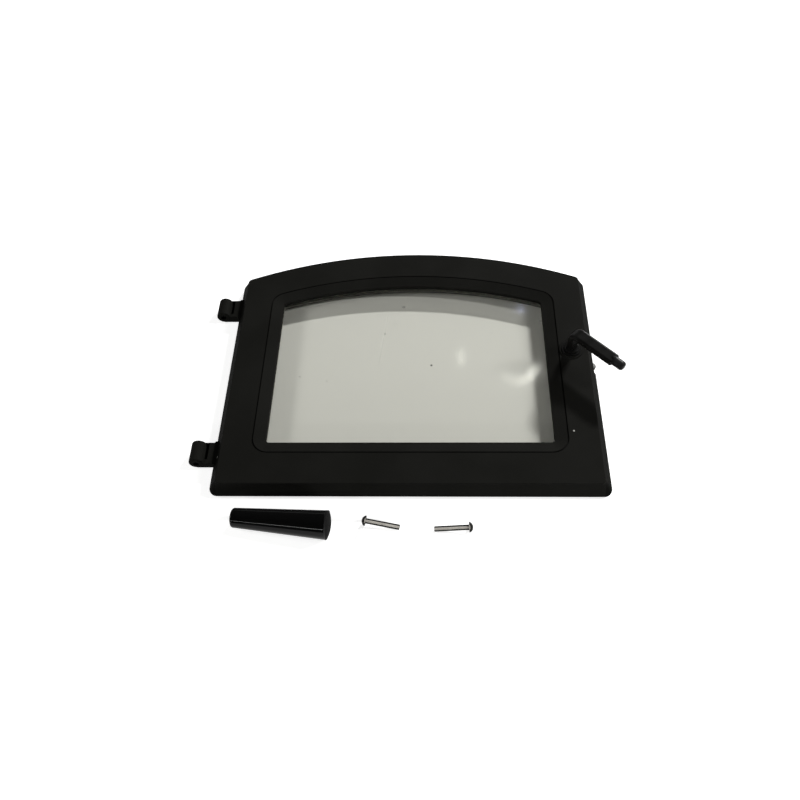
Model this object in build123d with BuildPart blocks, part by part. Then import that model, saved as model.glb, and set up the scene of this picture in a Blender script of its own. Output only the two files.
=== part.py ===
from build123d import *
import math
import os

# Door of a pellet stove, lying on its back: cast-iron frame, ceramic glass, rope seal and the
# lever with its latch. The handle grip and the two hinge pins lie in front of it, taken off.
# Millimetres. X runs across the door, Y up the door, Z out of its front face. Z = 0 is the
# ground that the door lies on, and the origin is under the middle of the whole set.

# Driving dimensions

# Where the middle of the door's lower edge lies in the frame
door_x = 1.5
door_y = -133.57

# Casting
door_width = 393.4
door_height = 317.0  # lower edge to the top of the arch
arch_radius = 493.0
plate_corner = 8.5
face_corner = 5.2
hollow_corner = 3.0
face_z = 18.0
rim_z = 3.0  # back edge of the rim, held off the ground by the rope
rim_height = 1.5  # upright foot of the edge, below its slope
rim_width = 6.0
slope_width = 6.0
side_draft = 1.28  # how much more the sides slope than the lower edge and the arch
step_height = 1.5  # upright step between the slope and the face
plate_back_z = 11.0
edge_softening = 0.9

# Window
window_bottom = 54.3
window_border_top = 53.8  # top of the window to the top of the door
window_corner = 4.0
lip_z = 15.0  # front of the lip that covers the glass edge
band_width = 12.3  # sloped band around the window
groove_width = 1.4
groove_depth = 1.1

# Glass, its tape and its retainer
glass_overlap = 5.0
glass_thickness = 4.0
tape_thickness = 1.0
tape_web = 0.8
tape_setback = 0.6
retainer_thickness = 1.5
retainer_setback = 1.6
seat_gap = 0.2

# Retainer screws
screw_radius = 2.0
screw_head_radius = 3.6
screw_head_height = 1.9
screw_depth = 6.5
screw_spacing = 95.0
screw_boss_radius = 4.5
boss_bite = 0.5  # how far the screw bosses run into the rib of the rope channel
screw_thread_gap = 0.05
screw_hole_gap = 0.3
ear_width = 7.4

# Rope seal
rope_width = 8.0
rope_height = 9.5
rope_corner = 16.0
rope_softness = 2.6
rope_gap = 0.1
rib_z = 4.0
inner_rib = 1.6
outer_rib = 2.0

# Hinges
knuckle_radius = 7.6
knuckle_length = 24.0
knuckle_reach = 16.8  # hinge axis to the side of the door
hinge_z = 8.0
hinge_bore_radius = 2.9
lower_hinge_y = 45.3
upper_hinge_y = 236.0
knuckle_softening = 1.8
arm_z = 0.8
arm_height = 9.5
arm_inset = 0.3  # from the ends of the knuckle
arm_flare = 1.6
slot_width = 3.4  # slot in the arm, along the knuckle
slot_depth = 4.0
slot_near_end = 4.5
slot_far_end = 1.5

# Spindle, boss and washers
spindle_inset = 25.5  # from the side of the door
spindle_y = 169.0
spindle_radius = 5.0
spindle_gap = 0.1
boss_base_radius = 13.0
boss_top_radius = 12.4
boss_height = 1.2
back_boss_radius = 8.2
back_boss_z = 9.0
front_washer_radius = 10.4
front_washer_thickness = 1.5
back_washer_radius = 8.0
back_washer_thickness = 1.0
spring_washer_thickness = 0.4
spring_washer_rise = 0.8
washer_bore_gap = 0.25

# Lever
lever_angle = -45.3  # direction of the arm in the front face, from +X
collar_radius = 8.2
collar_height = 1.5
lever_axis_z = 45.3
lever_bend = 7.2
lever_length = 52.0  # spindle axis to the shoulder
lever_width = 14.6
lever_thickness = 7.0
lever_edge = 2.6
shoulder_chamfer = 1.4
stub_radius = 5.0
stub_length = 11.5
stub_rounding = 3.2
swell_length = 6.0  # run-out of the round stub into the flat bar
swell_radius = 3.2

# Latch
latch_angle = -33.0
latch_length = 30.6  # spindle axis to the end of the tongue
latch_thickness = 3.0
latch_hub_radius = 8.0
latch_hub_gap = 0.6  # between the hub and the rib of the rope channel
latch_tip_radius = 5.0
latch_ramp = 1.3
drive_square = 7.0
drive_gap = 0.1
latch_travel = 60.0  # how far the lever turns to open
notch_gap = 1.0
lock_washer_radius = 4.4
lock_washer_thickness = 0.8
latch_screw_radius = 2.0
latch_screw_length = 12.0
latch_screw_head_radius = 4.0
latch_screw_head_height = 2.5
hex_width = 2.5
hex_depth = 1.3

# Handle grip, taken off
grip_length = 93.3
grip_small_radius = 9.5
grip_large_radius = 14.0
grip_dome = 3.0
grip_rounding = 2.4
grip_bore_gap = 0.2
grip_bore_depth = 14.0
grip_hole_radius = 1.6
grip_x = -168.3  # middle of its small end
grip_y = -26.2
grip_angle = -6.0

# Hinge pins, taken out
pin_radius = 2.6
pin_length = 33.0
pin_head_radius = 5.0
pin_head_height = 3.8
pin_dimple_radius = 1.3
pin_dimple_depth = 2.0
pin_chamfer = 0.3
pin_places = [(-40.5, -26.9, -9.7), (57.8, -33.2, -178.6)]  # X, Y under the head, direction

# Dependent dimensions

arch_centre = door_height - arch_radius
slope_z = rim_z + rim_height
step_z = face_z - step_height
window_top = door_height - window_border_top
side_x = door_width / 2

tape_top_z = plate_back_z
glass_top_z = tape_top_z - tape_thickness
glass_z = glass_top_z - glass_thickness
tape_z = glass_z - tape_thickness
retainer_z = tape_z - retainer_thickness

tape_outer = glass_overlap + tape_web
screw_offset = tape_outer + seat_gap + screw_boss_radius
channel_half = rope_width / 2 + rope_gap
rope_offset = tape_outer + seat_gap + inner_rib + channel_half
rope_end_offset = screw_offset + screw_boss_radius - boss_bite + inner_rib + channel_half

hinge_x = -side_x - knuckle_reach
spindle_x = side_x - spindle_inset
channel_side = spindle_x - latch_hub_radius - latch_hub_gap - outer_rib
window_side = channel_side - channel_half - rope_offset
boss_top_z = face_z + boss_height
collar_z = boss_top_z + front_washer_thickness
lever_z = collar_z + collar_height
spring_z = back_boss_z - spring_washer_rise
back_washer_z = spring_z - back_washer_thickness
latch_z = back_washer_z - latch_thickness
lock_washer_z = latch_z - lock_washer_thickness
latch_screw_z = lock_washer_z - latch_screw_head_height
stub_bore_radius = stub_radius + grip_bore_gap


def level(z):
    """Horizontal plane at height z, with the middle of the door's lower edge as its origin."""
    return Plane(origin=(door_x, door_y, z))


def upright(x, y, angle=0.0):
    """Upright plane through a point of the door, with its X turned by angle about Z and its Y up."""
    turn = math.radians(angle)
    return Plane(
        origin=(door_x + x, door_y + y, 0),
        x_dir=(math.cos(turn), math.sin(turn), 0),
        z_dir=(math.sin(turn), -math.cos(turn), 0),
    )


def lying(x, y, z, angle, tilt):
    """Plane on the axis of a thing that lies loose: its X runs along the axis, rising by tilt."""
    turn = math.radians(angle)
    rise = math.radians(tilt)
    return Plane(
        origin=(door_x + x, door_y + y, z),
        x_dir=(math.cos(turn) * math.cos(rise), math.sin(turn) * math.cos(rise), math.sin(rise)),
        z_dir=(math.sin(turn), -math.cos(turn), 0),
    )


def arched(half_width, bottom, top, corner):
    """Outline with a flat bottom, straight sides and an arch about the door's own arch centre."""
    radius = top - arch_centre
    shoulder = arch_centre + math.sqrt(radius**2 - half_width**2)
    with BuildSketch() as outline:
        with BuildLine():
            Line((-half_width, shoulder), (-half_width, bottom))
            Line((-half_width, bottom), (half_width, bottom))
            Line((half_width, bottom), (half_width, shoulder))
            ThreePointArc((half_width, shoulder), (0, top), (-half_width, shoulder))
        make_face()
        fillet(outline.vertices(), corner)
    return outline.sketch


def plate_outline(inset=0.0, corner=plate_corner):
    """Outer outline of the casting, set inward by a distance, and by more at its sides."""
    return arched(side_x - inset * side_draft, inset, door_height - inset, corner)


def window_outline(grow=0.0):
    """Outline of the window, grown outward by a distance."""
    return arched(
        window_side + grow, window_bottom - grow, window_top + grow, window_corner + grow
    )


def rope_outline(grow=0.0):
    """Middle line of the rope seal, grown outward by a distance."""
    return arched(
        window_side + rope_offset + grow,
        window_bottom - rope_end_offset - grow,
        window_top + rope_end_offset + grow,
        rope_corner + grow,
    )


def retainer_spots():
    """Places of the retainer screws, each turned so that its own +Y points away from the window."""
    spots = []
    ring = window_top + screw_offset - arch_centre
    for x in (-screw_spacing, 0.0, screw_spacing):
        y = arch_centre + math.sqrt(ring**2 - x**2)
        lean = -math.degrees(math.asin(x / ring))
        spots.append(Location((x, y, 0), (0, 0, lean)))
        spots.append(Location((x, window_bottom - screw_offset, 0), (0, 0, 180)))
    return spots


def latch_reach(angle):
    """How far along the door the latch's edges lie where it crosses the door's side."""
    across = math.radians(angle)
    middle = spindle_y + spindle_inset * math.tan(across)
    return middle, latch_tip_radius / math.cos(across)


# Casting

with BuildPart() as door_frame:
    # Edge of the plate: a low upright foot, a long slope and a small step up to the front face
    with BuildSketch(level(rim_z)):
        add(plate_outline())
    extrude(amount=rim_height)
    with BuildSketch(level(slope_z)):
        add(plate_outline())
    with BuildSketch(level(step_z)):
        add(plate_outline(slope_width, face_corner))
    loft(ruled=True)
    with BuildSketch(level(step_z)):
        add(plate_outline(slope_width, face_corner))
    extrude(amount=step_height)
    fillet(door_frame.edges().group_by(Axis.Z)[-1], edge_softening)

    # Hollow back inside the rim
    with BuildSketch(level(rim_z)):
        add(plate_outline(rim_width, hollow_corner))
    extrude(amount=plate_back_z - rim_z, mode=Mode.SUBTRACT)

    # Ribs of the rope channel, screw bosses and the back boss of the spindle
    with BuildSketch(level(rib_z)):
        add(rope_outline(channel_half + outer_rib))
        add(rope_outline(-channel_half - inner_rib), mode=Mode.SUBTRACT)
    extrude(amount=plate_back_z - rib_z)
    with BuildSketch(level(tape_z)):
        with Locations(*retainer_spots()):
            Circle(screw_boss_radius)
    extrude(amount=plate_back_z - tape_z)
    with BuildSketch(level(back_boss_z)):
        with Locations((spindle_x, spindle_y)):
            Circle(back_boss_radius)
    extrude(amount=plate_back_z - back_boss_z)
    with BuildSketch(level(rib_z)):
        add(rope_outline(channel_half))
        add(rope_outline(-channel_half), mode=Mode.SUBTRACT)
    extrude(amount=rope_height - rib_z, mode=Mode.SUBTRACT)

    # Window, its sloped band and the fine groove around the band
    with BuildSketch(level(plate_back_z)):
        add(window_outline())
    extrude(amount=lip_z - plate_back_z, mode=Mode.SUBTRACT)
    with BuildSketch(level(lip_z)):
        add(window_outline())
    with BuildSketch(level(face_z)):
        add(window_outline(band_width))
    loft(ruled=True, mode=Mode.SUBTRACT)
    with BuildSketch(level(face_z)):
        add(window_outline(band_width + groove_width))
        add(window_outline(band_width), mode=Mode.SUBTRACT)
    extrude(amount=-groove_depth, mode=Mode.SUBTRACT)

    # Boss under the lever, and the spindle's bore
    with BuildSketch(level(face_z)):
        with Locations((spindle_x, spindle_y)):
            Circle(boss_base_radius)
    with BuildSketch(level(boss_top_z)):
        with Locations((spindle_x, spindle_y)):
            Circle(boss_top_radius)
    loft()
    with BuildSketch(level(back_boss_z)):
        with Locations((spindle_x, spindle_y)):
            Circle(spindle_radius + spindle_gap)
    extrude(amount=boss_top_z - back_boss_z, mode=Mode.SUBTRACT)

    # Threaded holes for the retainer screws
    with BuildSketch(level(tape_z)):
        with Locations(*retainer_spots()):
            Circle(screw_radius)
    extrude(amount=screw_depth, mode=Mode.SUBTRACT)

    # Notch in the rim that the latch swings through
    low_middle, low_half = latch_reach(latch_angle)
    high_middle, high_half = latch_reach(latch_angle + latch_travel)
    notch_low = low_middle - low_half - notch_gap
    notch_high = high_middle + high_half + notch_gap
    with BuildSketch(level(rim_z)):
        with Locations((side_x - rim_width / 2, (notch_low + notch_high) / 2)):
            Rectangle(rim_width * 2, notch_high - notch_low)
    extrude(amount=back_washer_z + 0.4 - rim_z, mode=Mode.SUBTRACT)

    # Hinge lugs: a knuckle and an arm with a slot along the knuckle
    half = knuckle_length / 2
    arm_end = -side_x - arm_flare
    root_x = -side_x + rim_width * 0.8
    arm_top = arm_z + arm_height
    slot_x = hinge_x + knuckle_radius + slot_width
    for hinge_y in (lower_hinge_y, upper_hinge_y):
        with BuildSketch(upright(hinge_x, hinge_y)):
            with Locations((0, hinge_z)):
                Circle(knuckle_radius)
        extrude(amount=half, both=True)
        ends = door_frame.edges(Select.LAST).filter_by(GeomType.CIRCLE).sort_by(Axis.Y)
        fillet([ends[0], ends[-1]], knuckle_softening)
        low = hinge_y - half + arm_inset
        high = hinge_y + half - arm_inset
        slot_low = hinge_y - half + slot_near_end
        slot_high = hinge_y + half - slot_far_end
        with BuildSketch(level(arm_z)) as arm:
            with BuildLine():
                Polyline((arm_end, high), (hinge_x, high), (hinge_x, low), (arm_end, low))
                TangentArc((arm_end, low), (-side_x, low - arm_flare), tangent=(1, 0))
                Polyline(
                    (-side_x, low - arm_flare),
                    (root_x, low - arm_flare),
                    (root_x, high + arm_flare),
                    (-side_x, high + arm_flare),
                )
                TangentArc((arm_end, high), (-side_x, high + arm_flare), tangent=(1, 0))
            make_face()
        extrude(amount=arm_height - slot_depth)
        with BuildSketch(level(arm_top - slot_depth)):
            add(arm.sketch_local)
            with Locations(((hinge_x + slot_x) / 2, (slot_low + slot_high) / 2)):
                Rectangle(slot_x - hinge_x, slot_high - slot_low, mode=Mode.SUBTRACT)
        extrude(amount=slot_depth)
        with BuildSketch(upright(hinge_x, hinge_y)):
            with Locations((0, hinge_z)):
                Circle(hinge_bore_radius)
        extrude(amount=half, both=True, mode=Mode.SUBTRACT)
door_frame.part.label = "door_frame"

# Glass and what holds it

with BuildPart() as glass_pane:
    with BuildSketch(level(glass_z)):
        add(window_outline(glass_overlap))
    extrude(amount=glass_thickness)
glass_pane.part.label = "glass_pane"

with BuildPart() as glass_tape:
    with BuildSketch(level(tape_z)):
        add(window_outline(tape_outer))
        add(window_outline(tape_setback), mode=Mode.SUBTRACT)
    extrude(amount=tape_top_z - tape_z)
    with BuildSketch(level(glass_z)):
        add(window_outline(glass_overlap))
    extrude(amount=glass_thickness, mode=Mode.SUBTRACT)
glass_tape.part.label = "glass_tape"

with BuildPart() as glass_retainer:
    with BuildSketch(level(retainer_z)):
        add(window_outline(tape_outer))
        with Locations(*retainer_spots()):
            Circle(ear_width / 2)
            Rectangle(ear_width, screw_offset - glass_overlap, align=(Align.CENTER, Align.MAX))
        add(window_outline(retainer_setback), mode=Mode.SUBTRACT)
        with Locations(*retainer_spots()):
            Circle(screw_radius + screw_hole_gap, mode=Mode.SUBTRACT)
    extrude(amount=retainer_thickness)
glass_retainer.part.label = "glass_retainer"

with BuildPart() as retainer_screws:
    with BuildSketch(level(retainer_z)):
        with Locations(*retainer_spots()):
            Circle(screw_head_radius)
    extrude(amount=-screw_head_height)
    heads = retainer_screws.edges().group_by(Axis.Z)[0]
    fillet(heads, screw_head_height / 2)
    with BuildSketch(level(retainer_z)):
        with Locations(*retainer_spots()):
            Circle(screw_radius - screw_thread_gap)
    extrude(amount=screw_depth)
    with BuildSketch(level(retainer_z - screw_head_height)):
        with Locations(*retainer_spots()):
            RegularPolygon(hex_width / 2, 6, major_radius=False)
    extrude(amount=hex_depth, mode=Mode.SUBTRACT)
retainer_screws.part.label = "retainer_screws"

with BuildPart() as door_rope:
    with BuildSketch(level(0)):
        add(rope_outline(rope_width / 2))
        add(rope_outline(-rope_width / 2), mode=Mode.SUBTRACT)
    extrude(amount=rope_height)
    fillet(door_rope.edges().filter_by(Axis.Z, reverse=True), rope_softness)
door_rope.part.label = "door_rope"

# Lever and latch

with BuildPart() as handle_lever:
    # Journal through the casting, collar, and the square that drives the latch
    with BuildSketch(level(back_washer_z)):
        with Locations((spindle_x, spindle_y)):
            Circle(spindle_radius)
    extrude(amount=collar_z - back_washer_z)
    with BuildSketch(level(collar_z)):
        with Locations((spindle_x, spindle_y)):
            Circle(collar_radius)
    extrude(amount=collar_height)
    fillet(handle_lever.edges().group_by(Axis.Z)[-1], edge_softening)
    with BuildSketch(level(latch_z + drive_gap)):
        with Locations(Location((spindle_x, spindle_y, 0), (0, 0, latch_angle))):
            Rectangle(drive_square, drive_square)
    extrude(amount=latch_thickness)
    # Flat bar bent over into the arm
    arm_plane = upright(spindle_x, spindle_y, lever_angle)
    lever_x = arm_plane.x_dir
    with BuildLine(arm_plane) as bar:
        FilletPolyline(
            (0, lever_z - edge_softening),
            (0, lever_axis_z),
            (lever_length, lever_axis_z),
            radius=lever_bend,
        )
    with BuildSketch(Plane(origin=bar.line @ 0, x_dir=lever_x, z_dir=(0, 0, 1))):
        RectangleRounded(lever_thickness, lever_width, lever_edge)
    sweep(path=bar.line)
    shoulder = Plane(origin=bar.line @ 1, x_dir=(0, 0, 1), z_dir=lever_x)
    end_face = handle_lever.faces().sort_by_distance(shoulder.origin)[0]
    chamfer(end_face.edges(), shoulder_chamfer)
    with BuildSketch(shoulder.offset(-swell_length)):
        Circle(swell_radius)
    with BuildSketch(shoulder):
        Circle(stub_radius)
    loft()
    with BuildSketch(shoulder):
        Circle(stub_radius)
    extrude(amount=stub_length)
    tip = shoulder.origin + shoulder.z_dir * stub_length
    fillet(handle_lever.faces().sort_by_distance(tip)[0].edges(), stub_rounding)
    # Threaded hole for the latch screw
    with BuildSketch(level(latch_z + drive_gap)):
        with Locations((spindle_x, spindle_y)):
            Circle(latch_screw_radius)
    extrude(amount=latch_screw_length, mode=Mode.SUBTRACT)
handle_lever.part.label = "handle_lever"

with BuildPart() as front_washer:
    with BuildSketch(level(boss_top_z)):
        with Locations((spindle_x, spindle_y)):
            Circle(front_washer_radius)
            Circle(spindle_radius + washer_bore_gap, mode=Mode.SUBTRACT)
    extrude(amount=front_washer_thickness)
    chamfer(front_washer.edges().group_by(Axis.Z)[-1].sort_by(SortBy.RADIUS)[-1], 0.3)
front_washer.part.label = "front_washer"

# Washer bent to an arc, which keeps the lever from dropping by its own weight
with BuildPart() as spring_washer:
    arc_rise = spring_washer_rise - spring_washer_thickness
    with BuildSketch(upright(spindle_x, spindle_y)):
        with BuildLine():
            low_left = (-back_washer_radius, spring_z)
            low_right = (back_washer_radius, spring_z)
            lower = ThreePointArc(low_left, (0, spring_z + arc_rise), low_right)
            right = Line(lower @ 1, (back_washer_radius, spring_z + spring_washer_thickness))
            upper = ThreePointArc(
                right @ 1,
                (0, spring_z + spring_washer_rise),
                (-back_washer_radius, spring_z + spring_washer_thickness),
            )
            Line(upper @ 1, lower @ 0)
        make_face()
    extrude(amount=back_washer_radius, both=True)
    with BuildSketch(level(spring_z)):
        with Locations((spindle_x, spindle_y)):
            Circle(back_washer_radius)
            Circle(spindle_radius + washer_bore_gap, mode=Mode.SUBTRACT)
    extrude(amount=spring_washer_rise, mode=Mode.INTERSECT)
spring_washer.part.label = "spring_washer"

with BuildPart() as back_washer:
    with BuildSketch(level(back_washer_z)):
        with Locations((spindle_x, spindle_y)):
            Circle(back_washer_radius)
            Circle(spindle_radius + washer_bore_gap, mode=Mode.SUBTRACT)
    extrude(amount=back_washer_thickness)
back_washer.part.label = "back_washer"

with BuildPart() as latch:
    # Flat tongue: a hub on the spindle's square, narrowing to a rounded tip
    turned = Location((spindle_x, spindle_y, 0), (0, 0, latch_angle))
    tip_centre = latch_length - latch_tip_radius
    with BuildSketch(level(latch_z)):
        with Locations(turned):
            Circle(latch_hub_radius)
            with Locations((tip_centre, 0)):
                Circle(latch_tip_radius)
        make_hull()
        with Locations(turned):
            Rectangle(drive_square + drive_gap, drive_square + drive_gap, mode=Mode.SUBTRACT)
    extrude(amount=latch_thickness)
    # Ramp at the tip that draws the door in as the latch closes
    far_end = latch.edges().group_by(Axis.Z)[-1].sort_by(Axis.X)[-1]
    chamfer(far_end, latch_ramp)
latch.part.label = "latch"

with BuildPart() as lock_washer:
    with BuildSketch(level(lock_washer_z)):
        with Locations((spindle_x, spindle_y)):
            Circle(lock_washer_radius)
            Circle(latch_screw_radius + 0.1, mode=Mode.SUBTRACT)
    extrude(amount=lock_washer_thickness)
lock_washer.part.label = "lock_washer"

with BuildPart() as latch_screw:
    with BuildSketch(level(latch_screw_z)):
        with Locations((spindle_x, spindle_y)):
            Circle(latch_screw_head_radius)
    extrude(amount=latch_screw_head_height)
    fillet(latch_screw.edges().group_by(Axis.Z)[0], 0.8)
    with BuildSketch(level(lock_washer_z)):
        with Locations((spindle_x, spindle_y)):
            Circle(latch_screw_radius - screw_thread_gap)
    extrude(amount=latch_screw_length)
    with BuildSketch(level(latch_screw_z)):
        with Locations((spindle_x, spindle_y)):
            RegularPolygon(hex_width / 2, 6, major_radius=False)
    extrude(amount=hex_depth, mode=Mode.SUBTRACT)
latch_screw.part.label = "latch_screw"

# Grip and hinge pins, lying loose

with BuildPart() as handle_grip:
    lean = math.degrees(math.atan((grip_large_radius - grip_small_radius) / grip_length))
    rest_height = grip_small_radius * math.cos(math.radians(lean))
    grip_plane = lying(grip_x, grip_y, rest_height, grip_angle, lean)
    with BuildSketch(grip_plane) as half_section:
        with BuildLine():
            butt = Line((0, 0), (0, grip_small_radius))
            side = Line(butt @ 1, (grip_length, grip_large_radius))
            dome = ThreePointArc(
                side @ 1,
                (grip_length + grip_dome * 0.75, grip_large_radius / 2),
                (grip_length + grip_dome, 0),
            )
            Line(dome @ 1, butt @ 0)
        make_face()
        for rim in half_section.vertices().group_by(Axis.Y)[-2:]:
            fillet(rim, grip_rounding)
    revolve(axis=Axis(grip_plane.origin, grip_plane.x_dir))
    bore_plane = Plane(grip_plane.origin, x_dir=grip_plane.z_dir, z_dir=grip_plane.x_dir)
    with BuildSketch(bore_plane):
        Circle(stub_bore_radius)
    extrude(amount=grip_bore_depth, mode=Mode.SUBTRACT)
    with BuildSketch(bore_plane):
        Circle(grip_hole_radius)
    extrude(amount=grip_length + grip_dome, mode=Mode.SUBTRACT)
handle_grip.part.label = "handle_grip"


def hinge_pin(x, y, angle):
    """Domed pin that lies on the rim of its head and on its far end."""
    drop = math.atan((pin_head_radius - pin_radius) / (pin_length - pin_chamfer))
    rest = lying(x, y, pin_head_radius * math.cos(drop), angle, -math.degrees(drop))
    with BuildPart() as pin:
        with BuildSketch(rest) as half_section:
            with BuildLine():
                crown = ThreePointArc(
                    (-pin_head_height, 0),
                    (-pin_head_height * 0.8, pin_head_radius * 0.6),
                    (-pin_head_height * 0.2, pin_head_radius),
                )
                Polyline(
                    crown @ 1,
                    (0, pin_head_radius),
                    (0, pin_radius),
                    (pin_length - pin_chamfer, pin_radius),
                    (pin_length, pin_radius - pin_chamfer),
                    (pin_length, pin_dimple_radius),
                    (pin_length - pin_dimple_depth, pin_dimple_radius),
                    (pin_length - pin_dimple_depth, 0),
                    crown @ 0,
                )
            make_face()
        revolve(axis=Axis(rest.origin, rest.x_dir))
    return pin


hinge_pins = [hinge_pin(*place) for place in pin_places]
for number, pin in enumerate(hinge_pins, start=1):
    pin.part.label = f"hinge_pin_{number}"

os.makedirs("parts", exist_ok=True)
for piece in (
    door_frame,
    glass_pane,
    glass_tape,
    glass_retainer,
    retainer_screws,
    door_rope,
    handle_lever,
    front_washer,
    spring_washer,
    back_washer,
    latch,
    lock_washer,
    latch_screw,
    handle_grip,
    *hinge_pins,
):
    export_step(piece.part, f"parts/{piece.part.label}.step")
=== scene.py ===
"""Looks of a pellet stove's door, lying on a pale floor with its grip and hinge pins taken off."""

import math
import random

import bmesh
import bpy
from mathutils import Matrix, Vector


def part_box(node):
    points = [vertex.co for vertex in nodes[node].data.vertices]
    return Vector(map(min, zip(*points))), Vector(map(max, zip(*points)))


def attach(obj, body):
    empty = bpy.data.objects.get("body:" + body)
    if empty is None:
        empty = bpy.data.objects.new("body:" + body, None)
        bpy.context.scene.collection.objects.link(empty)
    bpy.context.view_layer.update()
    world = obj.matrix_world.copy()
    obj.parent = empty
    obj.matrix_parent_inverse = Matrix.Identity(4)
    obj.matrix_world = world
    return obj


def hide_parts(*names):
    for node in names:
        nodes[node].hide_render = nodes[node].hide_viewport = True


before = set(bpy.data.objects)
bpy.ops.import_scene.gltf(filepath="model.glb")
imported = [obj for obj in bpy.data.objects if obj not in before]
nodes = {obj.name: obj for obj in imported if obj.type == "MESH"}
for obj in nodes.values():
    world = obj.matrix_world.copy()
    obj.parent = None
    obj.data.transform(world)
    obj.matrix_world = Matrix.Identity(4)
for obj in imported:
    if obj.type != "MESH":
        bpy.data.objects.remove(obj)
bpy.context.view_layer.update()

MM = 0.001

# Camera, fitted to the edges of the door in the photograph
CAMERA_PLACE = Vector((26.60, -495.87, 696.9)) * MM
CAMERA_PITCH = math.radians(55.46)  # below the horizon
CAMERA_YAW = math.radians(-4.32)
CAMERA_ROLL = math.radians(-3.72)
PICTURE = 800  # pixels each way, and the focal length in pixels

# Where the middle of the door's lower edge lies, and the centre of its arches above that
DOOR = Vector((1.5, -133.57)) * MM
ARCH_CENTRE = -176.0 * MM

# How far from the door's middle the painted shade on its sloping sides starts and ends, each with a
# soft edge
SHADED_SLOPES = (188.5 * MM, 189.5 * MM, 196.8 * MM, 197.5 * MM)

# Heights at which marks and changes of finish are looked for
GLASS_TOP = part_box("glass_pane")[1].z
FACE_TOP = 18.0 * MM
SCRAPE_HEIGHT = 11.8 * MM
GRIP_MIDDLE = 13.0 * MM
STUB_HEIGHT = 45.0 * MM

# Floor and room
FLOOR_Z = -0.2 * MM
FLOOR_REACH = 6.0  # from its middle to each edge
FLOOR_GLOW = 0.72  # light of its own, which makes it white round the door
ROOM_TONE = 0.02
MIRROR_DISTANCE = 3.0  # from the glass to the lamps that it mirrors

# Pixels of the photograph that show a mark or where a finish changes
FACE_CHIP = (574.0, 430.7)
SIDE_SCRAPE = (217.2, 457.2)
LIGHTER_STUB = (620.5, 362.0)
GRIP_DOME = (325.5, 525)
GLASS_SCUFF = (540.6, 321)
SCRATCH_ENDS = ((388.6, 313), (376, 375))

# Dark specks on the glass: pixel of the photograph, radius in millimetres, and strength
GLASS_SPECKS = (
    ((431.4, 365.3), 1.4, 1.0),
    ((403.8, 307.2), 2.4, 0.35),
    ((384.9, 334.0), 1.6, 0.30),
    ((299.7, 376.6), 1.4, 0.22),
    ((326.7, 381.2), 1.6, 0.15),
    ((491.5, 333.0), 1.8, 0.10),
    ((353.0, 325.5), 1.4, 0.10),
)

# Bright spots that the glass mirrors, and the radiance along a bright arc
LIT_SPOT = (461, 357)
LIT_SPECK = (520.6, 307.9)
LIT_ARC = (
    ((505, 376), 1.4),
    ((511, 378.5), 1.8),
    ((517.5, 380.5), 2.6),
    ((523.5, 380.5), 3.8),
    ((529, 377.5), 5.0),
    ((533, 372.5), 7.0),
    ((536, 368), 5.5),
)


def camera_axes():
    """Right, up and forward of the camera."""
    forward = Vector(
        (
            math.sin(CAMERA_YAW) * math.cos(CAMERA_PITCH),
            math.cos(CAMERA_YAW) * math.cos(CAMERA_PITCH),
            -math.sin(CAMERA_PITCH),
        )
    )
    level = Vector((math.cos(CAMERA_YAW), -math.sin(CAMERA_YAW), 0))
    rise = level.cross(forward)
    right = level * math.cos(CAMERA_ROLL) + rise * math.sin(CAMERA_ROLL)
    up = rise * math.cos(CAMERA_ROLL) - level * math.sin(CAMERA_ROLL)
    return right, up, forward


def sight_line(pixel):
    """Direction in which the camera sees a pixel of the photograph."""
    right, up, forward = camera_axes()
    across = (pixel[0] - PICTURE / 2) / PICTURE
    down = (pixel[1] - PICTURE / 2) / PICTURE
    return (forward + right * across - up * down).normalized()


def seen_at(pixel, height):
    """Place where a pixel's sight line meets a level plane."""
    line = sight_line(pixel)
    return CAMERA_PLACE + line * ((height - CAMERA_PLACE.z) / line.z)


def place_camera():
    right, up, forward = camera_axes()
    camera = bpy.data.objects.new("camera", bpy.data.cameras.new("camera"))
    camera.data.sensor_width = 36.0
    camera.data.lens = 36.0  # as long as the picture is wide
    camera.data.clip_start = 0.02
    turn = Matrix((right, up, -forward)).transposed().to_4x4()
    camera.matrix_world = Matrix.Translation(CAMERA_PLACE) @ turn
    bpy.context.scene.collection.objects.link(camera)
    bpy.context.scene.camera = camera


# Materials


class Value:
    """A node's output. Arithmetic on it adds Math nodes."""

    def __init__(self, finish, socket):
        self.finish = finish
        self.socket = socket

    def math(self, operation, *values):
        return self.finish.add("Math", {"operation": operation}, dict(enumerate(values)))

    def __add__(self, other):
        return self.math("ADD", self, other)

    def __mul__(self, other):
        return self.math("MULTIPLY", self, other)

    def __sub__(self, other):
        return self.math("SUBTRACT", self, other)

    def __rsub__(self, other):
        return self.math("SUBTRACT", other, self)

    def __pow__(self, other):
        return self.math("POWER", self, other)

    def __lt__(self, other):
        return self.math("LESS_THAN", self, other)

    def __abs__(self):
        return self.math("ABSOLUTE", self)

    __radd__ = __add__
    __rmul__ = __mul__

    def most(self, other):
        return self.math("MAXIMUM", self, other)

    def between(self, low, high):
        """0 below low, 1 above high, smooth in between."""
        return self.finish.add(
            "MapRange",
            {"interpolation_type": "SMOOTHSTEP"},
            {"Value": self, "From Min": low, "From Max": high, "To Min": 0.0, "To Max": 1.0},
        )

    def within(self, start, full, fade, end):
        """1 from full to fade, 0 below start and above end, smooth in between."""
        return self.between(start, full) * (1.0 - self.between(fade, end))


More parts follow.
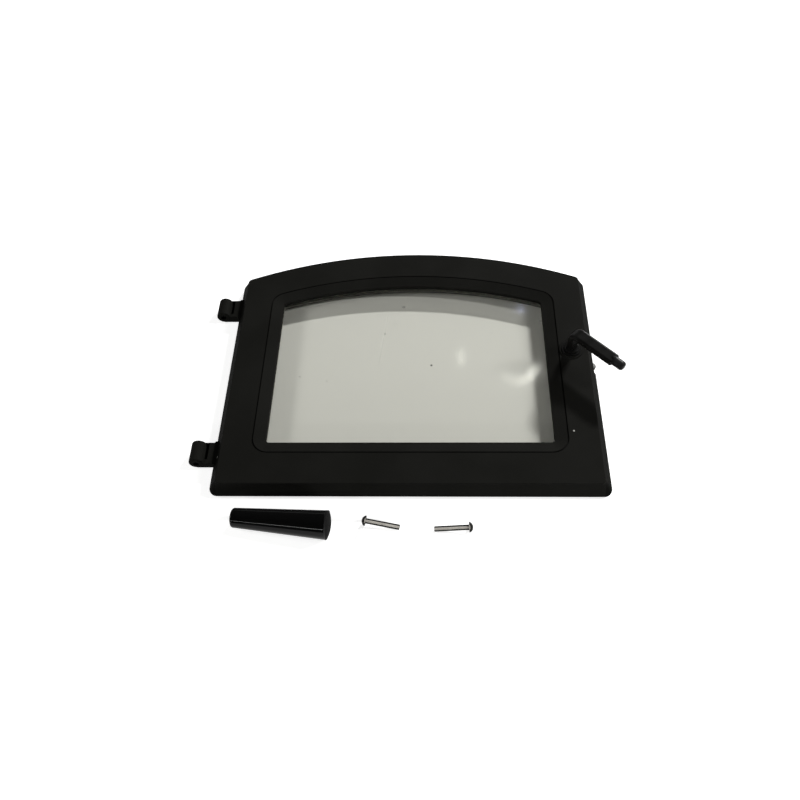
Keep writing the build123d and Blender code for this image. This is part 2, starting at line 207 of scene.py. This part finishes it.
class Finish:
    """One material, built from nodes."""

    def __init__(self, name):
        self.material = bpy.data.materials.new(name)
        self.material.use_nodes = True
        self.tree = self.material.node_tree
        self.tree.nodes.clear()
        self.point = self.add("TexCoord", output="Object")

    def add(self, kind, settings=None, sockets=None, output=0):
        """A node of a kind, with its settings made first and then its sockets' values or links."""
        node = self.tree.nodes.new("ShaderNode" + kind)
        for name, value in (settings or {}).items():
            setattr(node, name, value)
        for name, value in (sockets or {}).items():
            if isinstance(value, Value):
                self.tree.links.new(value.socket, node.inputs[name])
            else:
                node.inputs[name].default_value = value
        return Value(self, node.outputs[output]) if len(node.outputs) else node

    def axis(self, letter):
        """The point's X, Y or Z."""
        return self.add("SeparateXYZ", {}, {"Vector": self.point}, letter)

    def reach(self, direction, start):
        """How far the point lies from a start, measured along a direction."""
        sockets = {0: self.point, 1: direction}
        whole = self.add("VectorMath", {"operation": "DOT_PRODUCT"}, sockets, "Value")
        return whole - start.dot(direction)

    def noise(self, size, detail=2.0, rough=0.5, stretch=(1, 1, 1)):
        """Cloudy pattern whose lumps are about size metres across, 0 to 1."""
        scale = tuple(s / size for s in stretch)
        place = self.add("Mapping", {}, {"Vector": self.point, "Scale": scale})
        return self.add(
            "TexNoise", {}, {"Vector": place, "Scale": 1.0, "Detail": detail, "Roughness": rough}
        )

    def specks(self, spacing, size, share, shift=0.0):
        """Round specks: 1 inside, 0 outside. A share of the cells hold one."""
        place = self.add(
            "Mapping",
            {},
            {"Vector": self.point, "Scale": (1 / spacing,) * 3, "Location": (shift,) * 3},
        )
        cells = {"Vector": place, "Scale": 1.0, "Randomness": 1.0}
        near = self.add("TexVoronoi", {}, cells, "Distance")
        which = self.add("TexVoronoi", {}, cells, "Color")
        first = self.add("SeparateColor", {}, {"Color": which})
        inside = 1.0 - near.between(size / spacing * 0.6, size / spacing)
        return inside * (first < share)

    def spot(self, pixel, height, radius):
        """1 round the place that the camera sees at a pixel and a height, 0 beyond the radius."""
        place = seen_at(pixel, height)
        moved = self.add("Mapping", {}, {"Vector": self.point, "Location": -place})
        away = self.add("VectorMath", {"operation": "LENGTH"}, {0: moved}, "Value")
        return 1.0 - away.between(radius * 0.6, radius)

    def mix(self, share, a, b):
        """Colour a where share is 0, b where it is 1."""
        return self.add("Mix", {"data_type": "RGBA"}, {0: share, 6: a, 7: b}, 2)

    def drift(self, cloud, a, b):
        """Colour that drifts from a to b with a cloudy pattern."""
        return self.mix(cloud.between(0.3, 0.7), a, b)

    def bump(self, height, depth, strength, under=None):
        """Normal of a relief of a depth in metres, laid over the relief under it."""
        sockets = {"Height": height, "Distance": depth, "Strength": strength}
        if under is not None:
            sockets["Normal"] = under
        return self.add("Bump", {}, sockets)

    def surface(self, **sockets):
        """The principled shader, with its sockets by name."""
        named = {name.replace("_", " "): value for name, value in sockets.items()}
        return self.add("BsdfPrincipled", {}, named)

    def end(self, shader):
        self.add("OutputMaterial", {}, {"Surface": shader})
        return self.material


def grey(level, cast=0.05):
    """An opaque grey, made a little yellow by its cast."""
    return (level * (1 + cast / 2), level * (1 + cast / 2), level * (1 - cast), 1.0)


def iron_paint():
    """Matt stove paint on cast iron: fine grain, faint waves, dust, and painted shade that darkens
    the sloping sides.
    """
    f = Finish("iron_paint")
    grain = f.noise(0.9 * MM, 3.0, 0.6)
    waves = f.noise(18 * MM)
    cloud = f.noise(60 * MM, 3.0, 0.55)
    dust = f.specks(11 * MM, 0.35 * MM, 0.10)
    chip = f.spot(FACE_CHIP, FACE_TOP, 1.1 * MM)
    scrape = f.spot(SIDE_SCRAPE, SCRAPE_HEIGHT, 1.2 * MM)
    slope_shade = abs(f.axis("X") - DOOR.x).within(*SHADED_SLOPES)
    paint = f.drift(cloud, grey(0.0069, 0.09), grey(0.0090, 0.08))
    paint = f.mix(grain.between(0.35, 0.75) * 0.35, paint, grey(0.013, 0.08))
    paint = f.mix(dust * 0.4, paint, grey(0.06))
    paint = f.mix(chip.most(scrape) * 0.85, paint, grey(0.42))
    # Painted shade: the sloping sides get a darker colour, so that they look less lit
    paint = f.mix(slope_shade * 0.45, paint, grey(0.0))
    relief = f.bump(waves, 0.06 * MM, 0.5)
    relief = f.bump(grain, 0.05 * MM, 0.55, relief)
    return f.end(
        f.surface(
            Base_Color=paint,
            Roughness=0.54 + grain * 0.12 + cloud * 0.06,
            Specular_IOR_Level=0.010,
            Normal=relief,
        )
    )


def ceramic_glass():
    """Clear ceramic pane: a little grey in its mass, with dust, a scratch and a scuff on it."""
    f = Finish("ceramic_glass")
    lint = f.specks(16 * MM, 0.32 * MM, 0.16, 4.0)
    dark = 0.0
    for pixel, radius, strength in GLASS_SPECKS:
        dark = (f.spot(pixel, GLASS_TOP, radius * MM) * strength).most(dark)
    scuff = f.spot(GLASS_SCUFF, GLASS_TOP, 2.2 * MM)

    first, last = (seen_at(pixel, GLASS_TOP) for pixel in SCRATCH_ENDS)
    length = (last - first).length
    run = (last - first).normalized()
    along = f.reach(run, first).within(0.0, 4 * MM, length - 30 * MM, length)
    beside = abs(f.reach(Vector((run.y, -run.x, 0)), first))
    scratch = (1.0 - beside.between(0.2 * MM, 0.6 * MM)) * along

    smear = f.noise(50 * MM, 3.0, 0.6, (0.4, 1.0, 1.0))
    clear = f.add("BsdfTransparent", {}, {"Color": grey(0.935, 0.014)})
    shine = f.add("BsdfAnisotropic", {}, {"Color": grey(1.0), "Roughness": 0.035 + smear * 0.05})
    slant = f.add("LayerWeight", {}, {"Blend": 0.5}, "Facing")
    pane = f.add("MixShader", {}, {0: slant**5.0 * 0.96 + 0.04, 1: clear, 2: shine})

    tint = f.mix(dark.between(0.0, 0.08), grey(0.75), grey(0.03))
    dirt = f.surface(Base_Color=tint, Roughness=0.7)
    cover = (lint * 0.4).most(dark * 0.9).most(scuff * 0.4).most(scratch * 0.06)
    return f.end(f.add("MixShader", {}, {0: cover, 1: pane, 2: dirt}))


def fibre(name, light, dark):
    """Glass fibre yarn, without gloss."""
    f = Finish(name)
    yarn = f.noise(0.6 * MM, 3.0, 0.7)
    return f.end(
        f.surface(
            Base_Color=f.drift(yarn, grey(dark), grey(light)),
            Roughness=0.92,
            Specular_IOR_Level=0.1,
            Normal=f.bump(yarn, 0.2 * MM, 0.7),
        )
    )


def lever_enamel():
    """Satin black enamel. The lever's stub, where the grip was, is given a lighter colour."""
    f = Finish("lever_enamel")
    grain = f.noise(0.7 * MM, 3.0, 0.6)
    cloud = f.noise(12 * MM)
    tint = f.drift(cloud, grey(0.0042), grey(0.0061))
    # A lighter colour on the lever's stub
    stub_lighter = f.spot(LIGHTER_STUB, STUB_HEIGHT, 10.5 * MM)
    return f.end(
        f.surface(
            Base_Color=f.mix(stub_lighter, tint, grey(0.022, 0.0)),
            Roughness=0.25 + cloud * 0.06,
            Specular_IOR_Level=0.035,
            Normal=f.bump(grain, 0.03 * MM, 0.5),
        )
    )


def steel(name, tone, rough):
    """Plated steel with fine drawing marks."""
    f = Finish(name)
    marks = f.noise(0.25 * MM)
    cloud = f.noise(8 * MM)
    return f.end(
        f.surface(
            Base_Color=f.drift(cloud, grey(tone * 0.88, 0.03), grey(tone * 1.08, 0.03)),
            Metallic=1.0,
            Roughness=rough * 0.8 + cloud * rough * 0.4,
            Normal=f.bump(marks, 0.01 * MM, 0.6),
        )
    )


def pin_steel():
    """Drawn steel, bright along the middle of the pins, with painted shade that makes its colour
    dark where the surface turns away from the camera.
    """
    f = Finish("pin_steel")
    marks = f.noise(0.25 * MM)
    cloud = f.noise(8 * MM)
    # Painted shade: dark colour and less metal where the surface turns away from the camera, for
    # the dark surroundings that the pins would mirror there
    rim_shade = f.add("LayerWeight", {}, {"Blend": 0.5}, "Facing").between(0.03, 0.16)
    tint = f.drift(cloud, (0.57, 0.545, 0.49, 1.0), (0.69, 0.66, 0.60, 1.0))
    return f.end(
        f.surface(
            Base_Color=f.mix(rim_shade, tint, grey(0.012, 0.06)),
            Metallic=0.35 - rim_shade * 0.35,
            Roughness=0.30 + cloud * 0.08,
            Specular_IOR_Level=0.05,
            Normal=f.bump(marks, 0.01 * MM, 0.6),
        )
    )


def grip_plastic():
    """Moulded black plastic with a deep gloss. The domed end of the grip is dull."""
    f = Finish("grip_plastic")
    waves = f.noise(12 * MM, 1.0)
    haze = f.noise(4 * MM, 3.0, 0.6)
    start = seen_at(GRIP_DOME, GRIP_MIDDLE).x
    dome = f.axis("X").between(start - 0.5 * MM, start + 1.5 * MM)
    return f.end(
        f.surface(
            Base_Color=f.mix(haze, grey(0.0022, 0.0), grey(0.0034, 0.0)),
            Roughness=0.06 + haze * 0.04 + dome * 0.9,
            Specular_IOR_Level=0.12,
            Normal=f.bump(waves, 0.01 * MM, 0.5),
        )
    )


# Fibre pieces: the rope seal on the back and the tape round the glass


class Loop:
    """Closed arched outline on the door, with a flat bottom, straight sides and rounded corners."""

    def __init__(self, half_width, bottom, top, corner):
        radius = top - ARCH_CENTRE
        reach = half_width - corner
        rise = math.sqrt((radius - corner) ** 2 - reach**2)
        lean = math.atan2(reach, rise)
        right = math.pi / 2
        bends = (
            (reach, bottom + corner, corner, -right, 0.0),
            (reach, ARCH_CENTRE + rise, corner, 0.0, right - lean),
            (0.0, ARCH_CENTRE, radius, right - lean, right + lean),
            (-reach, ARCH_CENTRE + rise, corner, right + lean, 2 * right),
            (-reach, bottom + corner, corner, 2 * right, 3 * right),
        )
        self.points = []
        for x, y, bend, start, end in bends:
            steps = 8 + round(bend * (end - start) / (4 * MM))
            for i in range(steps + 1):
                turn = start + (end - start) * i / steps
                offset = Vector((math.cos(turn), math.sin(turn))) * bend
                self.points.append(DOOR + Vector((x, y)) + offset)
        self.points.append(self.points[0].copy())
        self.lengths = [0.0]
        for a, b in zip(self.points, self.points[1:]):
            self.lengths.append(self.lengths[-1] + (b - a).length)
        self.length = self.lengths[-1]

    def places(self, count):
        """Even places along the loop, each a point and the outward direction there."""
        found = []
        spot = 0
        for i in range(count):
            along = self.length * (i / count)
            while self.lengths[spot + 1] < along:
                spot += 1
            a, b = self.points[spot], self.points[spot + 1]
            share = (along - self.lengths[spot]) / (self.lengths[spot + 1] - self.lengths[spot])
            run = (b - a).normalized()
            found.append((a.lerp(b, share), Vector((run.y, -run.x))))
        return found


def yarns(name, runs, thickness, closed, roundness=0):
    """Mesh of round yarns, one along each run of points."""
    data = bpy.data.curves.new(name, "CURVE")
    data.dimensions = "3D"
    data.bevel_depth = thickness / 2
    data.bevel_resolution = roundness
    data.use_fill_caps = not closed
    for run in runs:
        line = data.splines.new("POLY")
        line.points.add(len(run) - 1)
        for point, place in zip(line.points, run):
            point.co = (*place, 1.0)
        line.use_cyclic_u = closed
    holder = bpy.data.objects.new(name, data)
    mesh = bpy.data.meshes.new_from_object(holder)
    bpy.data.objects.remove(holder)
    return mesh


def put_together(name, meshes, material, body, node):
    """One smooth piece from meshes, which stands for a node of the frame."""
    shape = bmesh.new()
    for mesh in meshes:
        shape.from_mesh(mesh)
        bpy.data.meshes.remove(mesh)
    for face in shape.faces:
        face.smooth = True
    whole = bpy.data.meshes.new(name)
    shape.to_mesh(whole)
    shape.free()
    whole.materials.append(material)
    piece = bpy.data.objects.new(name, whole)
    bpy.context.scene.collection.objects.link(piece)
    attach(piece, body)
    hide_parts(node)


def band(loop, profile, count):
    """Closed strip along a loop. Its section is a closed profile of points (out, height)."""
    shape = bmesh.new()
    rings = []
    for place, out in loop.places(count):
        rings.append([shape.verts.new((*(place + out * x), z)) for x, z in profile])
    for ring, following in zip(rings, rings[1:] + rings[:1]):
        for i, corner in enumerate(ring):
            after = (i + 1) % len(ring)
            shape.faces.new((corner, ring[after], following[after], following[i]))
    bmesh.ops.recalc_face_normals(shape, faces=shape.faces)
    mesh = bpy.data.meshes.new("band")
    shape.to_mesh(mesh)
    shape.free()
    return mesh


def rope_seal():
    """Braided rope: twelve yarns round a soft core, pressed into an oval section."""
    low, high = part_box("door_rope")
    width, height, yarn = 8.0 * MM, high.z - low.z, 1.7 * MM
    turns, strands = 26, 6  # of a yarn round the core, and the yarns that wind each way
    swing = 0.15 * MM  # how far a yarn rises where it crosses over another
    inset = width / 2  # from the rope's outer edge to its middle line
    corner = 16.0 * MM  # radius of its bends
    core_sides, core_depth = 16, 0.45 * MM  # the core lies this deep under the yarns' middles
    loop = Loop(
        (high.x - low.x) / 2 - inset,
        low.y + inset - DOOR.y,
        high.y - inset - DOOR.y,
        corner,
    )
    middle = (low.z + high.z) / 2
    reach_x, reach_z = (width - yarn) / 2 - swing, (height - yarn) / 2 - swing

    def section(angle, grow):
        """Point of the rope's squarish oval, grown outward, as (out, height)."""
        x, z = math.cos(angle), math.sin(angle)
        square = (x**4 + z**4) ** -0.25
        return x * square * (reach_x + grow), middle + z * square * (reach_z + grow)

    runs = []
    count = turns * strands * 6
    for hand in (1, -1):
        for strand in range(strands):
            run = []
            for i, (place, out) in enumerate(loop.places(count)):
                angle = math.tau * (strand / strands + hand * turns * i / count)
                over = hand * swing * math.cos(math.tau * turns * strands * i / count)
                x, z = section(angle, over)
                run.append((*(place + out * x), z))
            runs.append(run)
    core = [section(math.tau * i / core_sides, -core_depth) for i in range(core_sides)]
    parts = [yarns("rope_yarns", runs, yarn, True, 1), band(loop, core, 400)]
    braid = fibre("rope_fibre", 0.10, 0.035)
    put_together("braided_rope_seal", parts, braid, "door", "door_rope")


def glass_wrap():
    """Woven tape folded round the edge of the glass, with loose fibres along its inner edge."""
    low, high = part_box("glass_tape")
    breadth = 5.2 * MM  # from the tape's inner edge to its fold
    thread = 0.44 * MM
    spacing = 2.1 * MM  # between the threads that cross the tape
    rows, step = 8, 0.62 * MM  # threads along each face of the glass, and between them
    fold_rows, fold_step = 5, 0.75 * MM  # threads round the fold, and between them
    margin = 0.3 * MM  # from an edge to the first thread
    sway = 0.1 * MM  # how far a thread rises where it crosses over another
    corner = 4.6 * MM  # radius of the tape's inner edge at its bends
    loose_count, loose_width = 420, 0.09 * MM
    loop = Loop(
        (high.x - low.x) / 2 - breadth,
        low.y + breadth - DOOR.y,
        high.y - breadth - DOOR.y,
        corner,
    )
    top, under = high.z - 0.5 * MM, low.z + 0.5 * MM
    lines = [(margin + step * i, top) for i in range(rows)]
    lines += [(breadth - margin, top - fold_step * (i + 1)) for i in range(fold_rows)]
    lines += [(margin + step * i, under) for i in reversed(range(rows))]
    count = round(loop.length / spacing) // 2 * 2
    places = loop.places(count)

    def knot(i, row, hand):
        """Where crossing thread i meets the thread of a row, over or under it by hand."""
        place, away = places[i]
        out, height = lines[row]
        lift = hand * sway * (1 if (i + row) % 2 else -1)
        up = lift if height == top else -lift if height == under else 0.0
        side = lift if up == 0.0 else 0.0
        return (*(place + away * (out + side)), height + up)

    warp = [[knot(i, row, 1) for i in range(count)] for row in range(len(lines))]
    weft = [[knot(i, row, -1) for row in range(len(lines))] for i in range(count)]

    draw = random.Random(5)
    loose = []
    for _ in range(loose_count):
        place, away = places[draw.randrange(count)]
        run = Vector((-away.y, away.x))
        lean = draw.uniform(-0.9, 0.9)
        length = draw.uniform(0.5, 1.6) * MM
        height = top + draw.uniform(-0.45, 0.3) * MM
        tip = place - (away - run * lean).normalized() * length
        bend = place.lerp(tip, 0.5) + run * draw.uniform(-0.25, 0.25) * MM
        root = place + away * 0.4 * MM
        drop = draw.uniform(0.0, 0.1) * MM
        loose.append([(*root, height), (*bend, height), (*tip, height - drop)])
    parts = [
        yarns("warp", warp, thread, True),
        yarns("weft", weft, thread, False),
        yarns("loose_fibres", loose, loose_width, False),
    ]
    weave = fibre("tape_fibre", 0.42, 0.12)
    put_together("woven_glass_tape", parts, weave, "door", "glass_tape")


def dress(material, *names):
    """Gives nodes of the frame their material."""
    for name in names:
        mesh = nodes[name].data
        mesh.materials.clear()
        mesh.materials.append(material)


# Floor and light


def floor_paper():
    """Pale paper. It shows white round the door, and pale grey where the window lies over it."""
    f = Finish("floor_paper")
    low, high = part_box("door_frame")
    start, full_x, full_y = 20 * MM, 40 * MM, 45 * MM  # in from the casting's sides
    under_x = f.axis("X").within(low.x + start, low.x + full_x, high.x - full_x, high.x - start)
    under_y = f.axis("Y").within(low.y + start, low.y + full_y, high.y - full_y, high.y - start)
    camera = f.add("LightPath", output="Is Camera Ray")
    gloss = f.add("LightPath", output="Is Glossy Ray")
    through = f.add("LightPath", output="Is Transmission Ray")
    white = camera.most(gloss).most(through) * (1.0 - under_x * under_y)
    paper = f.add("BsdfDiffuse", {}, {"Color": grey(0.75, 0.012)})
    glow = f.add("Emission", {}, {"Color": grey(1.0, 0.0), "Strength": FLOOR_GLOW})
    both = f.add("AddShader", {}, {0: paper, 1: glow})
    return f.end(f.add("MixShader", {}, {0: white, 1: paper, 2: both}))


def lay_floor():
    shape = bmesh.new()
    bmesh.ops.create_grid(shape, x_segments=1, y_segments=1, size=FLOOR_REACH)
    mesh = bpy.data.meshes.new("floor")
    shape.to_mesh(mesh)
    shape.free()
    mesh.transform(Matrix.Translation((0, 0, FLOOR_Z)))
    mesh.materials.append(floor_paper())
    floor = bpy.data.objects.new("floor", mesh)
    bpy.context.scene.collection.objects.link(floor)


def flat_lamp(name, shape, length, width, middle, away):
    """Flat lamp that shines against away, its length level with the door's lower edge.

    What it returns is the light, for its strength and colour.
    """
    light = bpy.data.lights.new(name, "AREA")
    light.shape = shape
    light.size = length
    light.size_y = width
    level = (Vector((1, 0, 0)) - away * away.x).normalized()
    turn = Matrix((level, away.cross(level), away)).transposed().to_4x4()
    holder = bpy.data.objects.new(name, light)
    holder.matrix_world = Matrix.Translation(middle) @ turn
    bpy.context.scene.collection.objects.link(holder)
    return light


def lamp(name, azimuth, elevation, distance, length, width, share):
    """Oblong lamp aimed at the door, which gives the floor a share of full light.

    Azimuth runs from +Y towards +X. Both angles are in degrees.
    """
    a, e = math.radians(azimuth), math.radians(elevation)
    away = Vector((math.sin(a) * math.cos(e), math.cos(a) * math.cos(e), math.sin(e)))
    light = flat_lamp(name, "RECTANGLE", length, width, away * distance, away)
    light.energy = share * math.pi**2 * distance**2 / away.z


def mirrored(name, pixel, length, width, radiance, colour=(1.0, 1.0, 1.0)):
    """Small weak lamp that the pane mirrors at a pixel of the photograph."""
    line = sight_line(pixel)
    away = Vector((line.x, line.y, -line.z))
    middle = seen_at(pixel, GLASS_TOP) + away * MIRROR_DISTANCE
    light = flat_lamp(name, "ELLIPSE", length, width, middle, away)
    light.energy = radiance * math.pi**2 * length * width / 4
    light.color = colour


def light_room():
    world = bpy.data.worlds.new("room")
    world.use_nodes = True
    world.node_tree.nodes["Background"].inputs["Color"].default_value = grey(ROOM_TONE, 0.0)
    bpy.context.scene.world = world
    # Azimuth and elevation, distance, length and width in metres, share of full light
    lamp("side_tube", 82.9, 35.9, 2.2, 0.70, 0.05, 0.24)
    lamp("back_tube", 30.8, 27.1, 3.0, 0.46, 0.10, 0.555)
    lamp("left_panel", -95.2, 31.1, 2.2, 0.42, 0.79, 0.165)
    lamp("front_panel", 172, 62, 2.0, 0.9, 0.5, 0.025)
    lamp("low_lamp", 150, 8, 1.0, 0.3, 0.15, 0.045)
    lamp("front_strip", 214, 21, 2.6, 1.3, 0.03, 0.045)
    lamp("back_strip", 5, 17, 2.6, 2.6, 0.20, 0.008)
    mirrored("glass_spot", LIT_SPOT, 0.035, 0.075, 3.4)
    mirrored("glass_speck", LIT_SPECK, 0.030, 0.030, 8.0, (0.8, 0.85, 1.3))
    for i, (pixel, radiance) in enumerate(LIT_ARC):
        mirrored(f"glass_arc_{i + 1}", pixel, 0.045, 0.04, radiance)


def main():
    place_camera()
    lay_floor()
    light_room()
    dress(iron_paint(), "door_frame")
    dress(ceramic_glass(), "glass_pane")
    rope_seal()
    glass_wrap()
    dress(lever_enamel(), "handle_lever", "front_washer", "glass_retainer")
    zinc = steel("zinc_plate", 0.42, 0.34)
    dress(zinc, "spring_washer", "back_washer", "lock_washer", "latch_screw", "retainer_screws")
    dress(steel("latch_steel", 0.13, 0.40), "latch")
    dress(pin_steel(), "hinge_pin_1", "hinge_pin_2")
    dress(grip_plastic(), "handle_grip")


main()
bpy.context.scene.view_settings.view_transform = "Standard"
